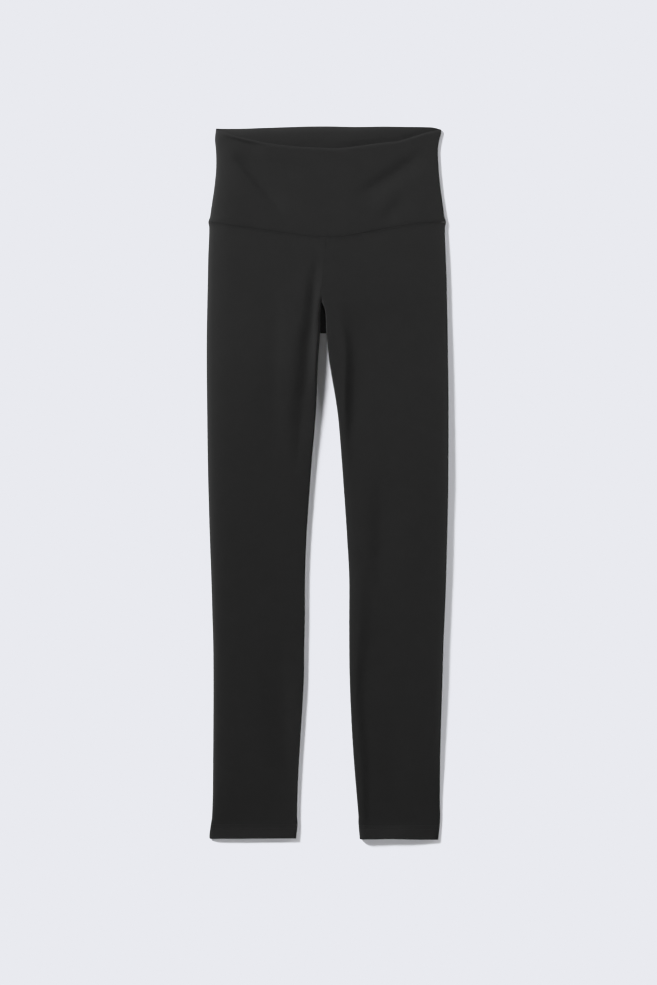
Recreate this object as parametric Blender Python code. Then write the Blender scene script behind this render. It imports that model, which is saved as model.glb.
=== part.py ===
"""High-waisted leggings, laid flat on their back with the front up.

X runs across the garment, with the wearer's right leg at -X. Y runs from the hems to the waist. Z is up
from the surface that they lie on. The origin is under the middle of the outline. The tables are in
millimetres, with heights counted along the garment from the lower hem, and the meshes are in metres.
"""

import math
from collections import namedtuple

import bmesh
import bpy

MILLIMETRE = 0.001
LENGTH = 940.0

LEG_WALL = 1.5
HEM_WALL = 2.1
BAND_WALL = 1.8
SEAM_GAP = 0.3

HEM_HEIGHT = 20.0
RIGHT_HEM = 1.4
LEFT_HEM = 0.0
CROTCH = 668.0
FRONT_CROTCH = 712.0
SEAM_FLAT = 778.0
BACK_SEAM = 815.0
SEAM_DIP = 0.7

TOP_ROLL = 12.0
UNDER_ROLL = 3.2
CROWN_RUN = 35.0
CROWDING = 1.3

GUSSET_WALL = 1.2
GUSSET_TOP = 2.8
GUSSET_TIP = 708.0

CLOTH_COLOUR = (0.0262, 0.0262, 0.0273, 1.0)
BAND_COLOUR = (0.0284, 0.0284, 0.0296, 1.0)
GUSSET_COLOUR = (0.0160, 0.0160, 0.0168, 1.0)

# The side folds, the folds along the inseams, and how high the cloth stands at its rolled edges and between
# them. Above the crotch the inner columns are the centre seam, and above the waist seam they have no use.
Section = namedtuple("Section", "height right_side right_inner left_inner left_side edge crown")
SECTIONS = (
    Section(0, -153.4, -42.3, 43.0, 145.2, 4.5, 4.7),
    Section(8, -155.2, -41.4, 42.4, 146.2, 4.8, 5.0),
    Section(20, -153.6, -40.6, 41.3, 147.4, 4.7, 5.0),
    Section(30, -152.2, -40.8, 40.9, 147.9, 4.6, 5.0),
    Section(55, -151.4, -40.7, 39.2, 147.6, 4.7, 5.2),
    Section(105, -150.6, -38.3, 35.0, 147.9, 4.9, 5.4),
    Section(160, -150.4, -34.8, 31.5, 149.5, 5.0, 5.6),
    Section(212, -150.3, -32.0, 29.6, 150.8, 5.1, 5.7),
    Section(290, -151.5, -30.5, 28.9, 153.6, 5.3, 5.9),
    Section(345, -153.0, -30.4, 28.2, 155.8, 5.3, 5.9),
    Section(400, -155.2, -28.4, 25.9, 157.2, 5.4, 5.9),
    Section(450, -156.7, -24.8, 22.6, 158.5, 5.5, 6.0),
    Section(502, -157.8, -21.2, 18.8, 159.0, 5.5, 6.0),
    Section(554, -158.4, -16.6, 14.6, 159.1, 5.6, 6.0),
    Section(582, -158.9, -15.1, 11.1, 159.0, 5.6, 6.0),
    Section(608, -159.1, -14.5, 6.6, 158.9, 5.6, 6.0),
    Section(636, -159.1, -12.9, 1.9, 158.4, 5.6, 6.0),
    Section(668, -159.0, -10.1, -1.9, 157.7, 5.6, 6.0),
    Section(697, -158.4, -9.9, -4.1, 157.2, 5.6, 6.0),
    Section(712, -158.1, -8.2, -8.2, 157.0, 5.5, 6.0),
    Section(735, -157.6, -6.6, -6.6, 156.4, 5.4, 5.9),
    Section(765, -157.1, -4.2, -4.2, 155.7, 5.4, 5.9),
    Section(796, -156.5, -1.9, -1.9, 154.8, 5.2, 5.6),
    Section(815, -156.0, -1.9, -1.9, 154.3, 5.0, 5.4),
    Section(832, -153.6, 0.0, 0.0, 152.2, 4.9, 5.3),
    Section(857, -149.8, 0.0, 0.0, 148.8, 4.9, 5.3),
    Section(880, -146.9, 0.0, 0.0, 146.1, 4.9, 5.4),
    Section(897, -146.3, 0.0, 0.0, 145.3, 4.9, 5.4),
    Section(912, -147.1, 0.0, 0.0, 145.1, 4.8, 5.3),
    Section(924, -147.7, 0.0, 0.0, 146.1, 4.7, 5.2),
    Section(934, -147.4, 0.0, 0.0, 149.0, 4.6, 5.0),
    Section(940, -146.2, 0.0, 0.0, 147.6, 4.5, 4.9),
)

# Edges that run across the garment, as heights at places from the right side to the left one.
Edge = namedtuple("Edge", "across height")
FRONT_SEAM = (
    Edge(-156, 814.6),
    Edge(-103, 807.8),
    Edge(-38, 798.8),
    Edge(0, 796.0),
    Edge(50, 802.8),
    Edge(94, 807.5),
    Edge(156, 815.0),
)
FRONT_TOP = (
    Edge(-147, 936.4),
    Edge(-114, 924.2),
    Edge(-69, 916.2),
    Edge(0, 912.2),
    Edge(46, 915.5),
    Edge(91, 922.0),
    Edge(132, 932.0),
    Edge(147, 935.6),
)
BACK_TOP = (
    Edge(-147, 937.5),
    Edge(-89, 938.3),
    Edge(-30, 939.8),
    Edge(69, 939.8),
    Edge(130, 939.0),
    Edge(147, 935.2),
)

# The largest folds of the front. Each runs from a low end to a high end and bows to its right. It rises, or
# sinks where rise is below 0, over the widths to its left and right, most at peak, a share of its run.
Fold = namedtuple("Fold", "low_x low_y high_x high_y bow rise left right peak")
LEG_FOLDS = (
    Fold(-38, 504, -17, 763, -2.0, -2.2, 7.0, 6.0, 0.65),
    Fold(-53, 512, -41, 732, 0.0, 0.8, 13.0, 8.0, 0.60),
    Fold(37, 508, 27, 712, 2.0, -1.7, 6.0, 15.0, 0.40),
    Fold(24, 514, 11, 699, 0.0, 0.8, 6.0, 6.0, 0.40),
    Fold(67, 316, 73, 495, 0.0, -0.9, 11.0, 16.0, 0.50),
    Fold(56, 46, 54, 316, -8.6, -1.1, 5.0, 11.0, 0.60),
    Fold(-57, 178, -65, 310, 0.0, 0.7, 8.0, 6.0, 0.50),
    Fold(-51, 191, -49, 303, 0.0, -0.8, 6.0, 5.0, 0.50),
    Fold(-62, 59, -79, 264, 0.0, -1.1, 26.0, 12.0, 0.45),
)
BAND_FOLDS = (
    Fold(-50, 828, -119, 897, 2.0, -1.0, 10.0, 10.0, 0.50),
    Fold(40, 828, 119, 900, -3.0, -1.2, 10.0, 10.0, 0.55),
)

# How many faces each stretch of a section has, and each stretch of a piece's length.
TOP_ROLL_FACES = 4
UNDER_ROLL_FACES = 3
LEG_FRONT_FACES = 14
LEG_BACK_FACES = 3
BAND_FRONT_FACES = 22
BAND_BACK_FACES = 6
LOWER_LEG_FACES = 26
CROTCH_FACES = 4
BODY_FACES = 5
BAND_HEIGHT_FACES = 13
FOLD_FACES = 6


def smooth_step(share):
    share = min(max(share, 0.0), 1.0)
    return share * share * (3 - 2 * share)


def blend(start, end, share):
    return start + (end - start) * share


def read_curve(rows, place, key, value):
    """A smooth curve through one column of a table, over another of its columns."""
    last = len(rows) - 1
    step = 0
    while step < last - 1 and getattr(rows[step + 1], key) < place:
        step += 1
    near = [rows[min(max(step + offset, 0), last)] for offset in (-1, 0, 1, 2)]
    k = [getattr(row, key) for row in near]
    v = [getattr(row, value) for row in near]
    span = k[2] - k[1]
    share = min(max((place - k[1]) / span, 0.0), 1.0)
    slope_in = (v[2] - v[0]) / (k[2] - k[0]) * span
    slope_out = (v[3] - v[1]) / (k[3] - k[1]) * span
    square, cube = share**2, share**3
    return (
        v[1] * (2 * cube - 3 * square + 1)
        + slope_in * (cube - 2 * square + share)
        + v[2] * (3 * square - 2 * cube)
        + slope_out * (cube - square)
    )


def section(height, column):
    return read_curve(SECTIONS, height, "height", column)


def edge_height(edge, across):
    return read_curve(edge, across, "across", "height")


def fold_rise(folds, x, height):
    """How far the folds lift the front at a point."""
    total = 0.0
    for fold in folds:
        run_x = fold.high_x - fold.low_x
        run_y = fold.high_y - fold.low_y
        length = math.hypot(run_x, run_y)
        share = ((x - fold.low_x) * run_x + (height - fold.low_y) * run_y) / length**2
        if not 0 < share < 1:
            continue
        aside = ((x - fold.low_x) * run_y - (height - fold.low_y) * run_x) / length
        aside -= fold.bow * 4 * share * (1 - share)
        width = fold.right if aside > 0 else fold.left
        if share < fold.peak:
            fade = smooth_step(share / fold.peak)
        else:
            fade = smooth_step((1 - share) / (1 - fold.peak))
        total += fold.rise * fade * math.exp(-((aside / width) ** 2))
    return total


def stretch(zone, faces, closed=False):
    """The columns of one stretch of a section, each a zone and a share of the way along it."""
    last = faces + 1 if closed else faces
    return [(zone, number / faces) for number in range(last)]


def flat_tube_point(zone, share, start, end, height, wall, folds, opened=0.0):
    """A point of a flattened tube's outside and inside, in a section that runs from start to end across.

    The tube rolls over at both edges: widely on top and tightly underneath. Where opened is 1, its start
    is laid open into a seam, with the top at full height and the underside flat.
    """
    edge = section(height, "edge")
    crown = section(height, "crown")
    middle = edge / 2
    width = abs(end - start)
    turn = math.pi / 2 * (share if zone in ("start_top", "end_under") else 1 - share)
    rise, run = math.sin(turn), 1 - math.cos(turn)
    if zone in ("start_top", "end_top"):
        outer = (TOP_ROLL * run, blend(middle, edge, rise))
        inner = (wall + (TOP_ROLL - wall) * run, blend(middle, edge - wall, rise))
        flat = (TOP_ROLL * run, edge - SEAM_DIP * (1 - rise))
    elif zone in ("start_under", "end_under"):
        outer = (UNDER_ROLL * run, middle * (1 - rise))
        inner = (wall + (UNDER_ROLL - wall) * run, blend(middle, wall, rise))
        flat = (UNDER_ROLL * run, 0.0)
    elif zone == "top":
        outer = (blend(TOP_ROLL, width - TOP_ROLL, share**CROWDING), edge)
        inside = min(outer[0], width - outer[0]) - TOP_ROLL
        outer = (outer[0], blend(edge, crown, smooth_step(inside / CROWN_RUN)))
        inner = (outer[0], outer[1] - wall)
        rise = 1.0
    else:
        outer = (blend(width - UNDER_ROLL, UNDER_ROLL, share), 0.0)
        inner = (outer[0], wall)
    if opened and zone in ("start_top", "start_under"):
        flat_inner = (flat[0], flat[1] - wall if zone == "start_top" else wall)
        outer = tuple(blend(a, b, opened) for a, b in zip(outer, flat))
        inner = tuple(blend(a, b, opened) for a, b in zip(inner, flat_inner))
        rise = blend(rise, 1.0, opened)
    from_end = zone.startswith("end")
    towards = math.copysign(1, end - start)
    points = []
    for distance, z in (outer, inner):
        x = end - towards * distance if from_end else start + towards * distance
        points.append([x, height, z])
    if "top" in zone:
        lift = rise * fold_rise(folds, points[0][0], height)
        for point in points:
            point[2] += lift
    return points


def wall_object(name, outer, inner, rings, colour):
    """A closed wall between two grids of points. The first rows are whole rings and the others are open."""
    mesh = bmesh.new()
    skins = []
    for grid in (outer, inner):
        skin = []
        for number, row in enumerate(grid):
            ring = number < rings
            corners = [mesh.verts.new(in_metres(point)) for point in (row[:-1] if ring else row)]
            skin.append(corners + corners[:1] if ring else corners)
        skins.append(skin)
    rows, columns = len(outer), len(outer[0])
    for skin in skins:
        for row in range(rows - 1):
            for column in range(columns - 1):
                mesh.faces.new(
                    (
                        skin[row][column],
                        skin[row][column + 1],
                        skin[row + 1][column + 1],
                        skin[row + 1][column],
                    )
                )
    outside, inside = skins
    for row in (0, rows - 1):
        for column in range(columns - 1):
            mesh.faces.new(
                (
                    outside[row][column],
                    outside[row][column + 1],
                    inside[row][column + 1],
                    inside[row][column],
                )
            )
    for row in range(max(rings - 1, 0), rows - 1):
        for column in (0, columns - 1):
            mesh.faces.new(
                (
                    outside[row][column],
                    outside[row + 1][column],
                    inside[row + 1][column],
                    inside[row][column],
                )
            )
    return finish_object(name, mesh, colour)


def in_metres(point):
    x, height, z = point
    return (x * MILLIMETRE, (height - LENGTH / 2) * MILLIMETRE, z * MILLIMETRE)


def cloth_material(name, colour):
    material = bpy.data.materials.new(name)
    material.use_nodes = True
    shader = material.node_tree.nodes["Principled BSDF"]
    shader.inputs["Base Color"].default_value = colour
    shader.inputs["Roughness"].default_value = 0.85
    shader.inputs["Metallic"].default_value = 0.0
    return material


def finish_object(name, mesh, colour):
    bmesh.ops.recalc_face_normals(mesh, faces=mesh.faces)
    data = bpy.data.meshes.new(name)
    mesh.to_mesh(data)
    mesh.free()
    data.shade_smooth()
    data.set_sharp_from_angle(angle=math.radians(50))
    data.materials.append(cloth_material(name, colour))
    made = bpy.data.objects.new(name, data)
    garment.objects.link(made)
    return made


def make_leg(name, inner_column, side_column, hem):
    """A leg with its half of the hips, cut in one piece: a tube up to the crotch, and open above it."""
    seam_inset = math.copysign(SEAM_GAP / 2, section(0, side_column))
    columns = (
        stretch("start_top", TOP_ROLL_FACES)
        + stretch("top", LEG_FRONT_FACES)
        + stretch("end_top", TOP_ROLL_FACES)
        + stretch("end_under", UNDER_ROLL_FACES)
        + stretch("under", LEG_BACK_FACES)
        + stretch("start_under", UNDER_ROLL_FACES, closed=True)
    )
    hem_line = hem + HEM_HEIGHT
    heights = [hem, hem + HEM_HEIGHT * 0.4, hem_line - 1, hem_line + 1]
    heights += [
        blend(hem_line + 1, CROTCH, number / LOWER_LEG_FACES) for number in range(1, LOWER_LEG_FACES + 1)
    ]
    rings = len(heights)
    heights += [blend(CROTCH, FRONT_CROTCH, number / CROTCH_FACES) for number in range(1, CROTCH_FACES + 1)]
    rows = [(height, 0.0) for height in heights]
    rows += [(FRONT_CROTCH, number / BODY_FACES) for number in range(1, BODY_FACES + 1)]
    outer, inner = [], []
    for base, share in rows:
        outer_row, inner_row = [], []
        for number, (zone, along) in enumerate(columns):
            height = blend(base, waist_seam(zone, along, inner_column, side_column), share)
            start = section(height, inner_column) + seam_inset
            end = section(height, side_column)
            wall = HEM_WALL if height < hem_line else LEG_WALL
            opened = smooth_step((height - FRONT_CROTCH) / (SEAM_FLAT - FRONT_CROTCH))
            points = flat_tube_point(zone, along, start, end, height, wall, LEG_FOLDS, opened)
            if base > CROTCH:
                slit = SEAM_GAP / 2 * (1 - opened)
                lift = {0: slit, len(columns) - 1: -slit}.get(number, 0.0)
                for point in points:
                    point[2] += lift
            outer_row.append(points[0])
            inner_row.append(points[1])
        outer.append(outer_row)
        inner.append(inner_row)
    return wall_object(name, outer, inner, rings, CLOTH_COLOUR)


def waist_seam(zone, along, inner_column, side_column):
    """The height of a leg's top edge at a column."""
    if "under" in zone:
        return BACK_SEAM - SEAM_GAP / 2
    start = section(BACK_SEAM, inner_column)
    end = section(BACK_SEAM, side_column)
    point = flat_tube_point(zone, along, start, end, BACK_SEAM, LEG_WALL, ())[0]
    return edge_height(FRONT_SEAM, point[0]) - SEAM_GAP / 2


def make_band(name, columns, lower_edge, upper_edge, lift):
    """One side of the waistband, from its waist seam to its folded top edge."""
    outer, inner = [], []
    for row in range(BAND_HEIGHT_FACES + 1):
        outer_row, inner_row = [], []
        for number, (zone, along) in enumerate(columns):
            across = band_point(zone, along, BACK_SEAM)[0][0]
            low = lower_edge(across) + SEAM_GAP / 2
            across = band_point(zone, along, LENGTH)[0][0]
            high = edge_height(upper_edge, across)
            points = band_point(zone, along, blend(low, high, row / BAND_HEIGHT_FACES))
            if number in (0, len(columns) - 1):
                for point in points:
                    point[2] += lift
            outer_row.append(points[0])
            inner_row.append(points[1])
        outer.append(outer_row)
        inner.append(inner_row)
    return wall_object(name, outer, inner, 0, BAND_COLOUR)


def band_point(zone, along, height):
    start = section(height, "right_side")
    end = section(height, "left_side")
    return flat_tube_point(zone, along, start, end, height, BAND_WALL, BAND_FOLDS)


def make_gusset():
    """A strip folded across the crotch, with its front half sunk between the legs' rolled edges."""
    outer_turn = GUSSET_TOP / 2
    inner_turn = outer_turn - GUSSET_WALL
    fold_at = CROTCH + outer_turn
    outer, inner = [], []
    for skin, turn in ((outer, outer_turn), (inner, inner_turn)):
        path = [(GUSSET_TIP, outer_turn + turn)]
        path += [(blend(GUSSET_TIP, fold_at, share), outer_turn + turn) for share in (0.35, 0.7)]
        for number in range(FOLD_FACES + 1):
            angle = math.pi * number / FOLD_FACES
            path.append((fold_at - turn * math.sin(angle), outer_turn + turn * math.cos(angle)))
        path += [(blend(GUSSET_TIP, fold_at, share), outer_turn - turn) for share in (0.7, 0.35)]
        path.append((GUSSET_TIP, outer_turn - turn))
        for height, z in path:
            left = section(height, "left_inner") - SEAM_GAP / 2
            right = section(height, "right_inner") + SEAM_GAP / 2
            skin.append([(right, height, z), (left, height, z)])
    return wall_object("gusset", outer, inner, 0, GUSSET_COLOUR)


def front_seam_height(across):
    return edge_height(FRONT_SEAM, across)


def back_seam_height(across):
    return BACK_SEAM


for old in list(bpy.data.objects):
    bpy.data.objects.remove(old)

garment = bpy.data.collections.new("leggings")
bpy.context.scene.collection.children.link(garment)

front_columns = (
    stretch("start_top", TOP_ROLL_FACES)
    + stretch("top", BAND_FRONT_FACES)
    + stretch("end_top", TOP_ROLL_FACES, closed=True)
)
back_columns = (
    stretch("end_under", UNDER_ROLL_FACES)
    + stretch("under", BAND_BACK_FACES)
    + stretch("start_under", UNDER_ROLL_FACES, closed=True)
)
make_band("waistband_front", front_columns, front_seam_height, FRONT_TOP, SEAM_GAP / 2)
make_band("waistband_back", back_columns, back_seam_height, BACK_TOP, -SEAM_GAP / 2)
make_leg("leg_right", "right_inner", "right_side", RIGHT_HEM)
make_leg("leg_left", "left_inner", "left_side", LEFT_HEM)
make_gusset()
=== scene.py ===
"""The looks of the high-waisted leggings: knit shells, seams, stitches, floor, light and camera.

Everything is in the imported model's frame: X across the garment with the wearer's right leg at -X, Y from the
hems to the waist, Z up from the floor. The tables are in millimetres, with heights counted along the garment
from its lower hem. The meshes, lights and camera are in metres.
"""

import math
from collections import namedtuple

import bmesh
import bpy
import numpy as np
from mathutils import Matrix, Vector


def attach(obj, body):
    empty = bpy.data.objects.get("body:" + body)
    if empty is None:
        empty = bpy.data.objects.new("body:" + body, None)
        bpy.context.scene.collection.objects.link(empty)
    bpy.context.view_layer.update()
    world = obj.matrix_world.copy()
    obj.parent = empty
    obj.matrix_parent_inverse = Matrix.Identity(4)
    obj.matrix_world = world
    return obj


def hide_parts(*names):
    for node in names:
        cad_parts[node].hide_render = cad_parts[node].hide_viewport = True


MILLIMETRE = 0.001

# ---- Sizes, in millimetres ----

# The garment's length, its cloth and its seams' gaps. The band's cloth thickens away from its side folds.
LENGTH = 940.0
CLOTH = 0.6
HEM_CLOTH = 0.85
BAND_CLOTH = 0.8
BAND_SIDE_CLOTH = 0.5
BAND_SIDE_REACH = 40.0
SEAM_GAP = 0.2
CENTRE_GAP = 0.02

# The share of a folded edge's rounding that the inside takes too, at the hems and at the band's top.
HEM_CLOSING = 0.94
TOP_CLOSING = 0.96

# In degrees. Sharper edges are shaded as edges.
SHARP_EDGE = 60.0

# Heights. A leg is a closed tube up to CROTCH. From there to FRONT_CROTCH the gusset lies between the legs,
# and above that they meet at the centre seams. From FLAT_FROM to FLAT_TO their inner edges open into a seam.
HEM_HEIGHT = 20.0
RIGHT_HEM = 1.4
LEFT_HEM = 0.0
CROTCH = 668.0
FRONT_CROTCH = 712.0
FLAT_FROM = 704.0
FLAT_TO = 720.0
BACK_SEAM = 815.0

# The strips beside a folded edge where columns lie close, and how the others spread over the top.
TOP_ROLL = 12.0
UNDER_ROLL = 3.2
CROWDING = 1.25

# Folds fade out this near to a folded edge, on the front and on the back.
FOLD_FADE = 4.0
BACK_FOLD_FADE = 12.0

GUSSET_CLOTH = 1.0
GUSSET_TOP = 2.6
GUSSET_TIP = 708.0
GUSSET_SAG = 0.35

# Seams: rounded cloth edges, the step up to the doubled band, the centre seam's and the inseam's hollows, the
# bulk where a seam passes a side fold, and the small waves that a seam draws.
SEAM_ROUND = 0.12
SEAM_STEP = 0.5
SEAM_STEP_WIDTH = 2.6
CENTRE_ROUND = 0.05
CENTRE_HOLLOW = 0.02
CENTRE_HOLLOW_WIDTH = 2.2
CENTRE_GROWTH = 20.0
INSEAM_GROOVE = 0.2
INSEAM_GROOVE_WIDTH = 0.8
SEAM_BULK = 1.6
SEAM_BULK_WIDTH = 4.5
PUCKER = 0.08
PUCKER_REACH = 4.5
PUCKER_WAVE = 1.9
PUCKER_DRIFT = 11.0
PUCKER_WANDER = 1.3
PUCKER_SWELL = 23.0
PUCKER_EVEN = 0.6

STITCH_LENGTH = 2.4
STITCH_GAP = 0.7
STITCH_START = 0.15
THREAD_RADIUS = 0.17
THREAD_LIFT = 0.05
NEEDLE_ROWS = (13.2, 18.6)
NEEDLE_GROOVE = 0.12
NEEDLE_GROOVE_WIDTH = 0.9

# The band's folded top. Where the inside of its back shows above the front, it starts thin at the top edge,
# rises at BACK_RIM_SLOPE towards the room under the front, and sinks a little below the front.
TOP_SOFT = 0.4
TOP_SOFT_WIDTH = 1.8
BAND_SIDE_ROUND = 0.2
BACK_RIM = 2.4
BACK_RIM_SLOPE = 0.55
BACK_RIM_PROUD = 0.5
LEAST_RIM = 0.6
RIM_SINK_START = 8.0
RIM_SINK = 9.0
RIM_FADE_START = 14.0
RIM_FADE = 40.0
RIM_SIDE = 12.0

# The garment's outline: its two side folds and the folds along the inseams. Above the crotch the inner
# columns are the centre seam, and above the waist seam they have no use.
Outline = namedtuple("Outline", "height right_side right_inner left_inner left_side")
OUTLINE = (
    Outline(0, -156.4, -42.1, 41.7, 145.5),
    Outline(8, -156.4, -41.1, 41.0, 146.3),
    Outline(20, -154.7, -39.9, 39.9, 147.6),
    Outline(30, -153.2, -40.5, 39.9, 148.1),
    Outline(55, -152.2, -40.1, 37.9, 147.7),
    Outline(105, -151.7, -37.9, 33.8, 148.1),
    Outline(160, -151.3, -34.5, 30.4, 149.5),
    Outline(212, -151.2, -31.6, 28.4, 151.2),
    Outline(255, -151.5, -31.0, 27.8, 152.3),
    Outline(290, -152.5, -30.3, 27.7, 153.9),
    Outline(345, -154.1, -30.1, 27.7, 156.0),
    Outline(400, -156.1, -28.1, 24.8, 157.4),
    Outline(450, -157.6, -24.7, 21.5, 158.6),
    Outline(502, -158.8, -21.0, 17.7, 159.1),
    Outline(554, -159.4, -16.4, 13.5, 159.1),
    Outline(582, -159.8, -14.8, 9.7, 159.1),
    Outline(608, -160.1, -13.9, 5.3, 158.9),
    Outline(636, -160.2, -12.6, 0.9, 158.5),
    Outline(668, -160.1, -10.3, -2.1, 158.0),
    Outline(697, -159.6, -9.9, -3.5, 157.4),
    Outline(712, -159.2, -8.2, -8.2, 157.2),
    Outline(735, -158.8, -6.6, -6.6, 156.8),
    Outline(765, -158.2, -4.2, -4.2, 155.7),
    Outline(796, -157.0, -1.9, -1.9, 154.5),
    Outline(815, -156.3, -1.9, -1.9, 154.2),
    Outline(832, -154.3, 0.0, 0.0, 152.4),
    Outline(857, -150.6, 0.0, 0.0, 148.9),
    Outline(880, -148.1, 0.0, 0.0, 146.6),
    Outline(897, -147.6, 0.0, 0.0, 145.5),
    Outline(912, -148.3, 0.0, 0.0, 145.3),
    Outline(924, -149.4, 0.0, 0.0, 147.3),
    Outline(934, -148.4, 0.0, 0.0, 149.8),
    Outline(940, -148.0, 0.0, 0.0, 149.0),
)

# How high the cloth's top stands over the floor, a little inside each edge.
Crown = namedtuple("Crown", "height right_side right_inner left_inner left_side")
CROWN = (
    Crown(0, 3.25, 3.35, 5.5, 2.9),
    Crown(8, 2.6, 2.7, 4.5, 2.3),
    Crown(20, 1.95, 1.95, 3.2, 1.6),
    Crown(40, 2.8, 2.2, 3.3, 1.8),
    Crown(60, 3.7, 2.6, 3.5, 2.1),
    Crown(105, 4.4, 2.8, 3.7, 2.7),
    Crown(160, 4.7, 2.8, 3.9, 3.2),
    Crown(300, 5.3, 2.9, 4.2, 3.8),
    Crown(400, 5.7, 3.3, 4.8, 3.9),
    Crown(475, 6.0, 3.9, 4.95, 3.9),
    Crown(528, 6.2, 4.9, 4.45, 3.8),
    Crown(580, 6.4, 6.3, 3.8, 3.6),
    Crown(607, 6.5, 7.4, 3.65, 3.5),
    Crown(633, 6.6, 7.9, 3.8, 3.4),
    Crown(660, 6.7, 7.7, 4.1, 3.3),
    Crown(686, 6.8, 7.05, 4.65, 3.2),
    Crown(700, 6.8, 6.7, 5.2, 3.1),
    Crown(712, 6.8, 6.4, 5.7, 3.0),
    Crown(739, 6.8, 5.75, 5.75, 2.9),
    Crown(770, 6.8, 5.5, 5.5, 2.6),
    Crown(815, 6.8, 5.0, 5.0, 2.0),
    Crown(850, 6.8, 4.6, 4.6, 1.5),
    Crown(880, 6.8, 4.2, 4.2, 1.3),
    Crown(940, 6.9, 3.6, 3.6, 1.2),
)

# The folded edges. Each has the height of its fold, the height that its round reaches and that round's width,
# and the run over which the top goes from there to the crown.
Roll = namedtuple("Roll", "height edge shoulder round run")
RIGHT_SIDE_ROLL = (
    Roll(0, 0.8, 1.5, 3.2, 5.0),
    Roll(30, 0.9, 1.8, 4.0, 5.0),
    Roll(105, 1.0, 2.4, 4.6, 6.0),
    Roll(210, 1.0, 2.5, 5.0, 6.5),
    Roll(316, 1.0, 2.5, 5.2, 6.5),
    Roll(475, 1.0, 2.4, 5.4, 8.0),
    Roll(580, 1.0, 2.5, 5.6, 9.0),
    Roll(686, 1.0, 2.7, 5.8, 10.0),
    Roll(790, 1.0, 2.8, 6.0, 10.5),
    Roll(815, 1.0, 2.6, 5.5, 11.0),
    Roll(910, 0.9, 2.4, 5.5, 11.0),
    Roll(940, 0.8, 2.1, 5.0, 11.0),
)
RIGHT_INNER_ROLL = (
    Roll(0, 1.0, 2.6, 1.4, 6.0),
    Roll(60, 1.2, 2.7, 1.4, 7.0),
    Roll(220, 1.3, 3.0, 1.4, 8.0),
    Roll(400, 1.4, 3.3, 1.6, 8.0),
    Roll(475, 1.5, 3.6, 1.8, 5.0),
    Roll(528, 1.7, 4.15, 1.8, 4.0),
    Roll(554, 1.8, 4.35, 1.8, 4.0),
    Roll(580, 2.0, 5.0, 2.2, 5.0),
    Roll(607, 2.3, 6.65, 3.4, 9.0),
    Roll(633, 2.4, 7.45, 3.8, 10.0),
    Roll(660, 2.4, 6.9, 3.8, 10.0),
    Roll(686, 2.4, 5.8, 3.0, 7.0),
    Roll(712, 2.2, 5.3, 2.0, 5.0),
    Roll(815, 2.0, 5.0, 2.0, 8.0),
)
LEFT_INNER_ROLL = (
    Roll(0, 2.2, 4.4, 1.6, 5.0),
    Roll(20, 1.5, 3.0, 1.4, 5.0),
    Roll(52, 1.3, 3.3, 1.2, 5.0),
    Roll(105, 1.2, 3.5, 1.2, 5.0),
    Roll(171, 1.2, 3.85, 1.2, 4.5),
    Roll(211, 1.2, 4.0, 1.2, 5.0),
    Roll(263, 1.2, 3.85, 1.2, 6.0),
    Roll(316, 1.2, 3.45, 1.2, 7.0),
    Roll(369, 1.2, 2.8, 1.2, 7.0),
    Roll(422, 1.3, 3.1, 1.2, 7.0),
    Roll(475, 1.4, 3.6, 1.2, 5.0),
    Roll(528, 1.6, 4.05, 1.2, 4.0),
    Roll(554, 1.7, 4.7, 1.2, 5.0),
    Roll(580, 1.8, 5.15, 1.2, 5.0),
    Roll(607, 2.0, 5.0, 1.2, 3.0),
    Roll(620, 3.5, 5.5, 1.2, 2.5),
    Roll(650, 4.6, 5.65, 1.2, 4.0),
    Roll(712, 4.8, 5.7, 1.2, 6.0),
    Roll(815, 2.0, 5.0, 2.0, 8.0),
)
LEFT_SIDE_ROLL = (
    Roll(0, 0.7, 1.8, 1.2, 4.0),
    Roll(20, 0.7, 1.75, 1.2, 4.0),
    Roll(55, 0.8, 2.1, 1.2, 4.0),
    Roll(105, 1.2, 3.4, 1.2, 4.0),
    Roll(160, 1.6, 4.3, 1.2, 4.2),
    Roll(211, 2.0, 4.8, 1.2, 4.5),
    Roll(316, 2.0, 4.8, 1.2, 4.5),
    Roll(370, 2.0, 5.1, 1.2, 4.5),
    Roll(422, 2.0, 4.9, 1.2, 4.5),
    Roll(475, 2.0, 5.3, 1.2, 4.5),
    Roll(527, 2.0, 5.1, 1.2, 4.5),
    Roll(580, 1.9, 4.7, 1.2, 4.5),
    Roll(633, 1.8, 4.3, 1.2, 4.5),
    Roll(686, 1.6, 3.8, 1.2, 4.5),
    Roll(739, 1.4, 3.5, 1.2, 4.5),
    Roll(791, 1.2, 3.2, 1.2, 4.5),
    Roll(815, 0.8, 2.3, 1.2, 4.0),
    Roll(835, 0.7, 1.8, 1.2, 4.0),
    Roll(870, 0.7, 1.7, 1.2, 7.0),
    Roll(910, 0.6, 1.4, 1.2, 9.0),
    Roll(940, 0.6, 1.2, 1.2, 9.0),
)

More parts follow.
